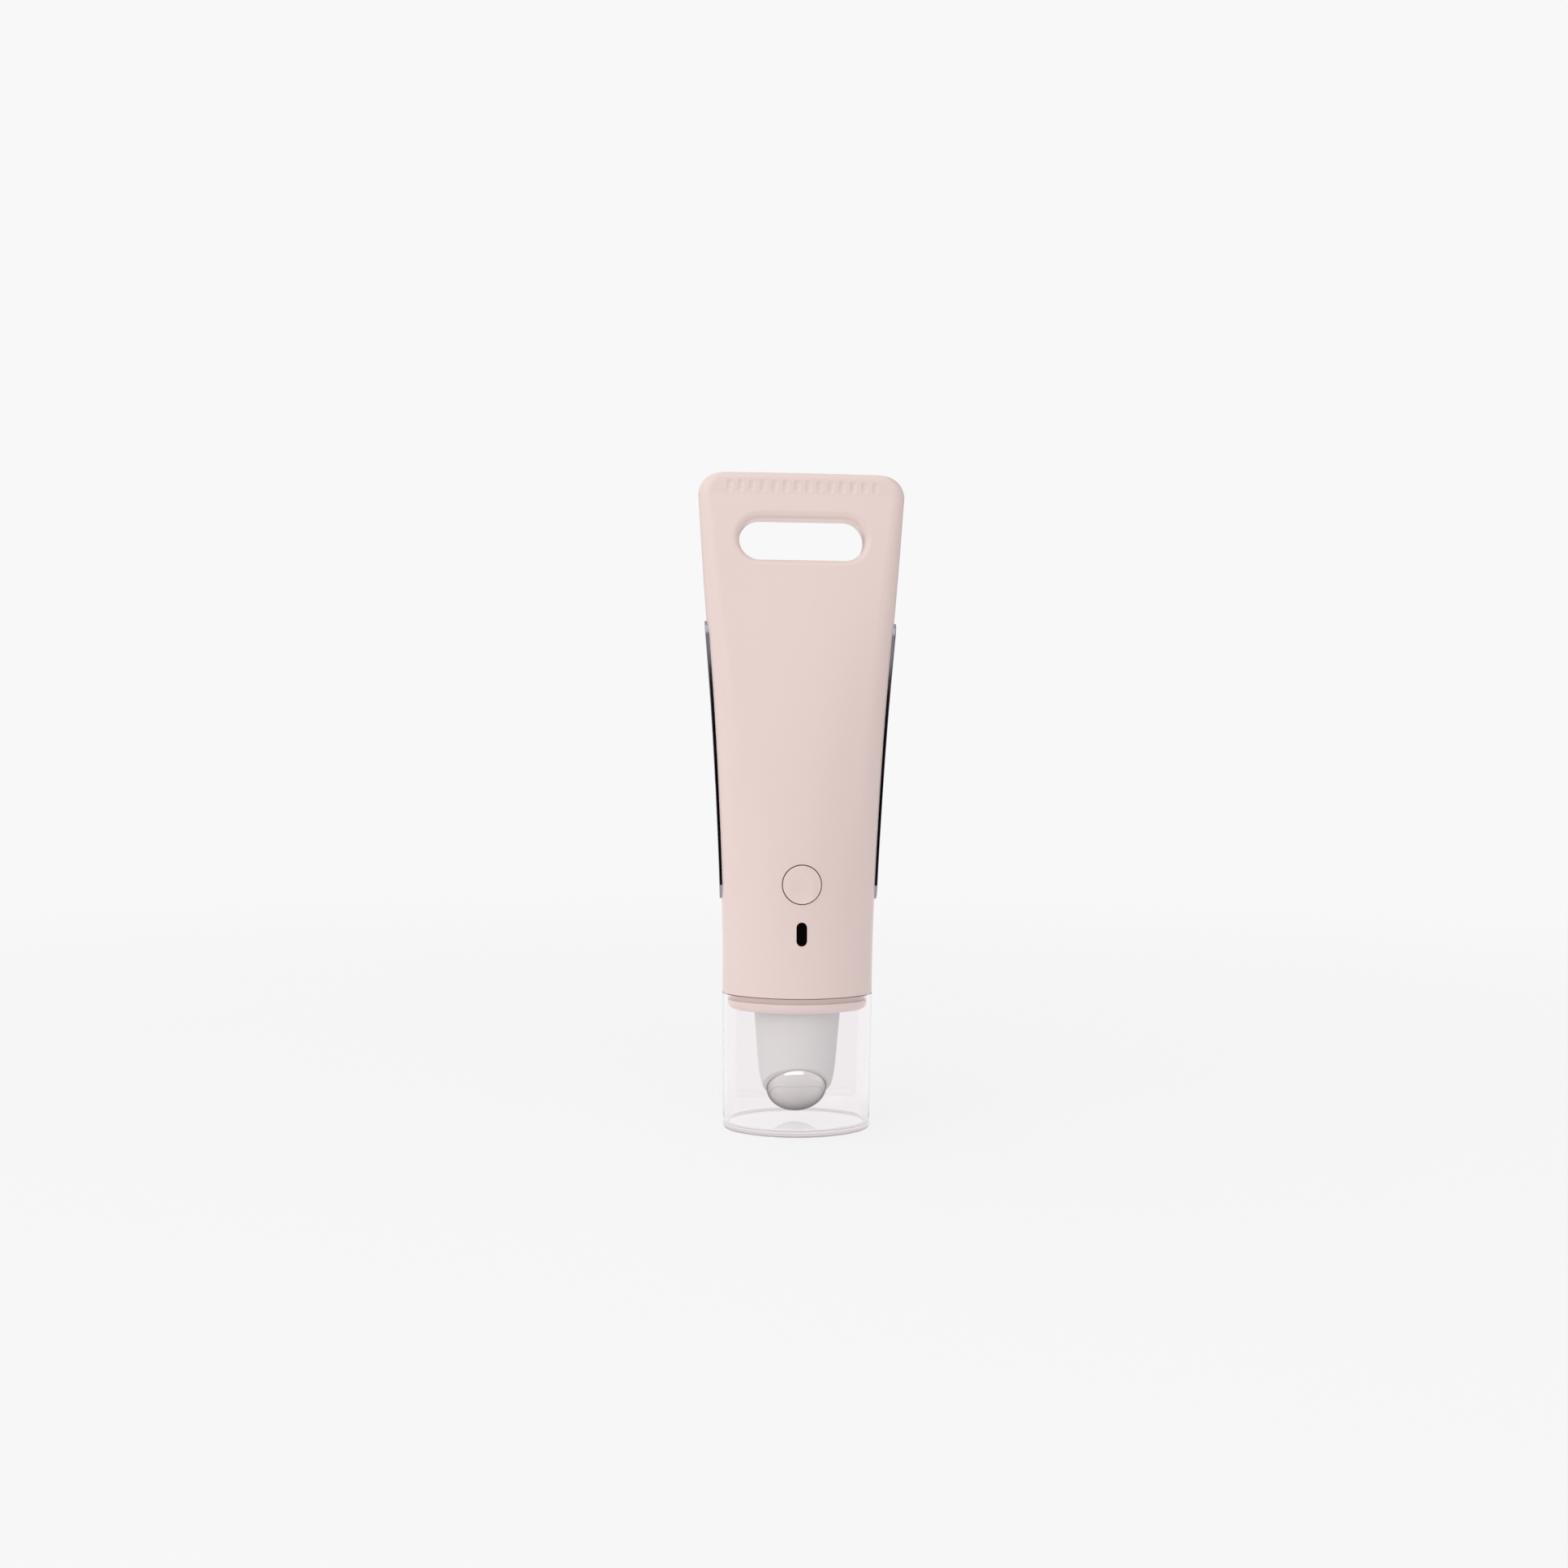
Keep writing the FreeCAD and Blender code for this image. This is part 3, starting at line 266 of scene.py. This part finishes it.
# Solder mask on glass epoxy: glossy green, paler and raised over rows of copper tracks
def maskedBoard(look):
    material, tree = newMaterial("solder-masked glass epoxy")
    place = addNode(tree, "ShaderNodeTexCoord").outputs["Object"]
    faceOn = addNode(tree, "ShaderNodeMapping", {"Vector": place, "Rotation": (-math.pi / 2, 0.0, 0.0)})
    tracks = addNode(tree, "ShaderNodeTexBrick", {
        "Vector": faceOn.outputs["Vector"], "Scale": perMm(look["pitchMm"]),
        "Row Height": 1.0, "Brick Width": look["trackPitches"], "Mortar Size": look["gapShare"],
        "Color1": hexLinear(look["track"]), "Color2": hexLinear(look["padTrack"]),
        "Mortar": hexLinear(look["mask"])})
    gloss = addNode(tree, "ShaderNodeMapRange", {
        "Value": tracks.outputs["Fac"], "To Min": look["roughness"][0], "To Max": look["roughness"][1]})
    bump = addNode(tree, "ShaderNodeBump", {
        "Height": tracks.outputs["Fac"], "Distance": look["riseMm"] / 1000}, invert=True)
    endMaterial(tree, addNode(tree, "ShaderNodeBsdfPrincipled", {
        "Base Color": tracks.outputs["Color"], "Roughness": gloss.outputs["Result"],
        "Normal": bump.outputs["Normal"], "IOR": look["ior"]}))
    return material


materials["circuit_board"] = maskedBoard(dict(
    mask="#185A3A", track="#2C8256", padTrack="#3A9266", pitchMm=1.3, trackPitches=5.0, gapShare=0.12,
    riseMm=0.03, roughness=(0.28, 0.4), ior=1.55))


# Extruded PVC: each pair has a red lead on the right and a black one on the left, with faint draw lines
def leadInsulation(look):
    material, tree = newMaterial("extruded PVC insulation")
    place = addNode(tree, "ShaderNodeTexCoord").outputs["Object"]
    across = addNode(tree, "ShaderNodeSeparateXYZ", {0: place})
    onRight = addNode(tree, "ShaderNodeMath", {0: across.outputs["X"], 1: 0.0}, operation="GREATER_THAN")
    colour = addNode(tree, "ShaderNodeMix", {
        "Factor": onRight.outputs[0],
        "A": hexLinear(look["black"]), "B": hexLinear(look["red"])}, data_type="RGBA")
    drawn = addNode(tree, "ShaderNodeMapping", {"Vector": place, "Scale": look["lineStretch"]})
    lines = addNode(tree, "ShaderNodeTexNoise", {
        "Vector": drawn.outputs["Vector"], "Scale": perMm(look["lineMm"])})
    gloss = addNode(tree, "ShaderNodeMapRange", {
        "Value": lines.outputs["Fac"], "To Min": look["roughness"][0], "To Max": look["roughness"][1]})
    endMaterial(tree, addNode(tree, "ShaderNodeBsdfPrincipled", {
        "Base Color": colour.outputs["Result"], "Roughness": gloss.outputs["Result"], "IOR": look["ior"]}))
    return material


materials["lead_red"] = leadInsulation(dict(
    red="#B8261F", black="#201F20", lineMm=0.2, lineStretch=(1.0, 1.0, 0.05),
    roughness=(0.32, 0.46), ior=1.53))

slotOf = {part["node"]: part["material_slot"] for part in frame["record"]["subparts"]}
for name, node in nodes.items():
    node.data.materials.clear()
    node.data.materials.append(materials[slotOf[name]])
print("materials:", len(materials))

# Clear cap

capShape = dict(wall=0.00095, floor=0.0012, draft=0.00035, cornerRadius=0.0006, sideArcShare=0.78,
                columns=512, cornerSteps=12, wallSteps=20)


# The neck's oval is four tangent arcs. A point lies at its arc's centre plus the arc's radius, less the
# inset, along the arc's own direction.
def ovalPoints(halfWidth, halfDepth, sideArc, turn, inset):
    reach = halfWidth - sideArc
    crownArc = (reach ** 2 + halfDepth ** 2 - sideArc ** 2) / (2 * (halfDepth - sideArc))
    crownBack = crownArc - halfDepth
    onSide = np.abs(np.sin(turn)) <= crownBack / math.hypot(crownBack, reach)
    centreX = np.where(onSide, np.sign(np.cos(turn)) * reach, 0)
    centreY = np.where(onSide, 0, -np.sign(np.sin(turn)) * crownBack)
    radius = np.where(onSide, sideArc, crownArc) - inset
    return centreX + radius * np.cos(turn), centreY + radius * np.sin(turn)


# The wall's profile carried round that oval: up the outside from the rounded foot to the rim, and down the
# inside to the floor's rounded corner. The inset from the rim's oval grows with the draft towards the foot.
def capMesh(shape, halves, height):
    bend = np.linspace(0, np.pi / 2, shape["cornerSteps"])
    corner = shape["cornerRadius"]
    outerZ = np.concatenate([
        corner * (1 - np.cos(bend)),
        np.linspace(corner, height, shape["wallSteps"])[1:]])
    innerZ = np.concatenate([
        np.linspace(height, shape["floor"] + corner, shape["wallSteps"])[:-1],
        shape["floor"] + corner * (1 - np.sin(bend))])
    outerInset = shape["draft"] * (1 - outerZ / height)
    outerInset[:bend.size] += corner * (1 - np.sin(bend))
    innerInset = shape["wall"] + shape["draft"] * (1 - innerZ / height)
    innerInset[-bend.size:] += corner * (1 - np.cos(bend))
    turn = np.linspace(0, 2 * np.pi, shape["columns"], False)[None, :]
    inset = np.concatenate([outerInset, innerInset])[:, None]
    across, along = ovalPoints(*halves, shape["sideArcShare"] * halves[1], turn, inset)
    rise = np.broadcast_to(np.concatenate([outerZ, innerZ])[:, None], across.shape)
    index = np.arange(across.size).reshape(across.shape)
    after = np.roll(index, -1, 1)
    walls = np.stack([index[:-1], after[:-1], after[1:], index[1:]], -1).reshape(-1, 4)
    foot, inside = index[0, ::-1].tolist(), index[-1].tolist()   # two flat faces close the wall
    mesh = bpy.data.meshes.new("moulded_clear_cap")
    mesh.from_pydata(np.stack([across, along, rise], -1).reshape(-1, 3).tolist(), [],
                     walls.tolist() + [foot, inside])
    outside = np.repeat(np.arange(len(inset)) < outerZ.size, shape["columns"]).astype(np.float32)
    mesh.attributes.new("outside", "FLOAT", "POINT").data.foreach_set("value", outside)
    mesh.polygons.foreach_set("use_smooth", np.ones(len(mesh.polygons), bool))
    ends = np.zeros(2 * len(mesh.edges), int)
    mesh.edges.foreach_get("vertices", ends)
    rows = ends.reshape(-1, 2) // shape["columns"]
    sharpRows = [0, outerZ.size - 1, outerZ.size, len(inset) - 1]   # round the foot, the rim and the floor
    mesh.edges.foreach_set("use_edge_sharp", (rows[:, 0] == rows[:, 1]) & np.isin(rows[:, 0], sharpRows))
    return mesh


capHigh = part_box("clear_cap")[1]
cap = bpy.data.objects.new("moulded_clear_cap", capMesh(capShape, capHigh[:2], capHigh[2]))
bpy.context.scene.collection.objects.link(cap)
cap.data.materials.append(materials["clear_styrene"])
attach(cap, "cap")
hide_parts("clear_cap")
cap.visible_shadow = False   # clear plastic lets the light through to the head
cap.visible_diffuse = False
print("cap:", len(cap.data.polygons), "faces")

# Studio: pale floor and backdrop, soft light from above and the left, a dark room behind the camera

studio = dict(
    backdrop="#F8F8F8",                        # seen straight, and through clear plastic
    fill="#F4F4F5", fillLevel=0.42,
    key="#FFFFFF", keyLevel=1.04, keyFrom=(-0.47, -0.2, 0.86), keySpread=(-0.1, 1.0),
    room="#2B2529", roomLevel=0.2, roomSpread=(0.75, 0.92), roomTop=(0.34, 0.2),
    floorBoard="#FAFAFA", floorRadius=40.0, floorRows=24, floorColumns=64,
    floorRise=0.00005,                         # the foot is pressed this far into the board
    floorPale=0.7, floorFade=(0.06, 0.7),      # seen straight
    floorThrough=0.88,                         # seen through clear plastic
    floorGlossFade=(0.008, 0.045), tableEdge=(0.25, 0.5),   # mirrored in gloss
    panelPlace=(-0.23, -0.61, 0.5), panelAim=(0.0, 0.0, 0.05), panelSize=(1.5, 0.8), panelWatts=2.1,
)


def studioWorld(look):
    world = bpy.data.worlds.new("studio")
    world.use_nodes = True
    tree = world.node_tree
    tree.nodes.clear()
    way = addNode(tree, "ShaderNodeTexCoord").outputs["Generated"]

    # Soft light: an even fill that rises to the key
    towardsKey = addNode(tree, "ShaderNodeVectorMath", {0: way, 1: look["keyFrom"]}, operation="DOT_PRODUCT")
    keyShare = addNode(tree, "ShaderNodeMapRange", {
        "Value": towardsKey.outputs["Value"],
        "From Min": look["keySpread"][0], "From Max": look["keySpread"][1]}, interpolation_type="SMOOTHSTEP")
    fillLight = addNode(tree, "ShaderNodeBackground", {
        "Color": hexLinear(look["fill"]), "Strength": look["fillLevel"]})
    keyLight = addNode(tree, "ShaderNodeBackground", {
        "Color": hexLinear(look["key"]), "Strength": look["keyLevel"]})
    softLight = addNode(tree, "ShaderNodeMixShader", {
        0: keyShare.outputs["Result"], 1: fillLight.outputs[0], 2: keyLight.outputs[0]})

    # The unlit room behind the camera: a low band towards -Y
    wayParts = addNode(tree, "ShaderNodeSeparateXYZ", {0: way})
    roomAcross = addNode(tree, "ShaderNodeMapRange", {
        "Value": wayParts.outputs["Y"], "From Min": -look["roomSpread"][0],
        "From Max": -look["roomSpread"][1]}, interpolation_type="SMOOTHSTEP")
    roomUp = addNode(tree, "ShaderNodeMapRange", {
        "Value": wayParts.outputs["Z"], "From Min": look["roomTop"][0],
        "From Max": look["roomTop"][1]}, interpolation_type="SMOOTHSTEP")
    roomShare = addNode(tree, "ShaderNodeMath", {
        0: roomAcross.outputs["Result"], 1: roomUp.outputs["Result"]}, operation="MULTIPLY")
    room = addNode(tree, "ShaderNodeBackground", {
        "Color": hexLinear(look["room"]), "Strength": look["roomLevel"]})
    surroundings = addNode(tree, "ShaderNodeMixShader", {
        0: roomShare.outputs[0], 1: softLight.outputs[0], 2: room.outputs[0]})

    # The pale backdrop, for looks that are straight or through clear plastic
    backdrop = addNode(tree, "ShaderNodeBackground", {"Color": hexLinear(look["backdrop"]), "Strength": 1.0})
    ray = addNode(tree, "ShaderNodeLightPath")
    seen = addNode(tree, "ShaderNodeMath", {
        0: ray.outputs["Is Camera Ray"], 1: ray.outputs["Is Transmission Ray"]}, operation="MAXIMUM")
    shown = addNode(tree, "ShaderNodeMixShader", {
        0: seen.outputs[0], 1: surroundings.outputs[0], 2: backdrop.outputs[0]})
    addNode(tree, "ShaderNodeOutputWorld", {"Surface": shown.outputs[0]})
    return world


bpy.context.scene.world = studioWorld(studio)


# A round floor on a polar grid: radius grows as the square of the row share
def floorMesh(radius, height, rows, columns):
    share, turn = np.meshgrid(
        np.linspace(0, 1, rows), np.linspace(0, 2 * np.pi, columns, False), indexing="ij")
    reach = radius * share ** 2
    level = np.full_like(turn, height)
    points = np.stack([reach * np.cos(turn), reach * np.sin(turn), level], -1).reshape(-1, 3)
    index = np.arange(rows * columns).reshape(rows, columns)
    after = np.roll(index, -1, 1)
    faces = np.stack([index[:-1], index[1:], after[1:], after[:-1]], -1).reshape(-1, 4)
    mesh = bpy.data.meshes.new("floor")
    mesh.from_pydata(points.tolist(), [], faces.tolist())
    return mesh


# The board is matt, so it keeps the shadow. Mirrored or through clear plastic it is mostly as pale as the
# backdrop, and further off wholly so. A straight look passes that share of it and meets the backdrop below,
# so the cap still shows when it is pulled down past the board.
def paleBoard(look):
    material, tree = newMaterial("matt pale board")
    place = addNode(tree, "ShaderNodeTexCoord").outputs["Object"]
    ray = addNode(tree, "ShaderNodeLightPath")
    away = addNode(tree, "ShaderNodeVectorMath", {0: place}, operation="LENGTH")
    fade = addNode(tree, "ShaderNodeMapRange", {
        "Value": away.outputs["Value"], "From Min": look["floorFade"][0], "From Max": look["floorFade"][1],
        "To Min": look["floorPale"]}, interpolation_type="SMOOTHSTEP")
    glossFade = addNode(tree, "ShaderNodeMapRange", {
        "Value": away.outputs["Value"],
        "From Min": look["floorGlossFade"][0], "From Max": look["floorGlossFade"][1]})
    fadeThrough = addNode(tree, "ShaderNodeMix", {
        "Factor": ray.outputs["Is Transmission Ray"],
        "A": fade.outputs["Result"], "B": look["floorThrough"]})
    mirrored = addNode(tree, "ShaderNodeMath", {0: ray.outputs["Glossy Depth"], 1: 1.0}, operation="MINIMUM")
    fadeFor = addNode(tree, "ShaderNodeMix", {
        "Factor": mirrored.outputs[0], "A": fadeThrough.outputs["Result"], "B": glossFade.outputs["Result"]})
    looked = addNode(tree, "ShaderNodeMath", {
        0: 1.0, 1: ray.outputs["Is Diffuse Ray"]}, operation="SUBTRACT")
    pale = addNode(tree, "ShaderNodeMath", {
        0: fadeFor.outputs["Result"], 1: looked.outputs[0]}, operation="MULTIPLY")
    matt = addNode(tree, "ShaderNodeBsdfDiffuse", {"Color": hexLinear(look["floorBoard"])})
    far = addNode(tree, "ShaderNodeEmission", {"Color": hexLinear(look["backdrop"]), "Strength": 1.0})
    passed = addNode(tree, "ShaderNodeBsdfTransparent")
    beyond = addNode(tree, "ShaderNodeMixShader", {
        0: ray.outputs["Is Camera Ray"], 1: far.outputs[0], 2: passed.outputs[0]})
    faded = addNode(tree, "ShaderNodeMixShader", {
        0: pale.outputs[0], 1: matt.outputs[0], 2: beyond.outputs[0]})

    # Mirrored in gloss, the floor ends in front like a table, and the unlit room begins
    forward = addNode(tree, "ShaderNodeSeparateXYZ", {0: place})
    pastEdge = addNode(tree, "ShaderNodeMapRange", {
        "Value": forward.outputs["Y"],
        "From Min": -look["tableEdge"][0], "From Max": -look["tableEdge"][1]})
    unlit = addNode(tree, "ShaderNodeMath", {
        0: pastEdge.outputs["Result"], 1: ray.outputs["Is Glossy Ray"]}, operation="MULTIPLY")
    dark = addNode(tree, "ShaderNodeEmission", {
        "Color": hexLinear(look["room"]), "Strength": look["roomLevel"]})
    endMaterial(tree, addNode(tree, "ShaderNodeMixShader", {
        0: unlit.outputs[0], 1: faded.outputs[0], 2: dark.outputs[0]}))
    return material


floor = bpy.data.objects.new("floor", floorMesh(
    studio["floorRadius"], studio["floorRise"], studio["floorRows"], studio["floorColumns"]))
bpy.context.scene.collection.objects.link(floor)
floor.data.materials.append(paleBoard(studio))

# One soft panel above the camera, which the polished tip mirrors
panel = bpy.data.objects.new("panel", bpy.data.lights.new("panel", "AREA"))
bpy.context.scene.collection.objects.link(panel)
panel.data.shape = "RECTANGLE"
panel.data.size, panel.data.size_y = studio["panelSize"]
panel.data.energy = studio["panelWatts"]
panel.location = studio["panelPlace"]
aim = Vector(studio["panelAim"]) - Vector(studio["panelPlace"])
panel.rotation_euler = aim.to_track_quat("-Z", "Y").to_euler()
print("studio set")

# A level camera at the photograph's distance and height, a little to the left of the button side
shot = dict(
    distance=0.294, aside=-0.00306, height=0.06935, yawDegrees=3.6, rollDegrees=-0.52,
    focalPixels=1785, framePixels=1932, filmMm=36.0, clip=(0.01, 200.0),
)
camera = bpy.data.objects.new("camera", bpy.data.cameras.new("camera"))
bpy.context.scene.collection.objects.link(camera)
camera.data.sensor_width = shot["filmMm"]
camera.data.lens = shot["filmMm"] * shot["focalPixels"] / shot["framePixels"]
camera.data.clip_start, camera.data.clip_end = shot["clip"]
yaw = math.radians(shot["yawDegrees"])
camera.location = Matrix.Rotation(-yaw, 3, "Z") @ Vector((shot["aside"], -shot["distance"], shot["height"]))
camera.rotation_euler = (math.radians(90), math.radians(shot["rollDegrees"]), -yaw)
bpy.context.scene.camera = camera
bpy.context.scene.view_settings.view_transform = "Standard"
print("camera set")
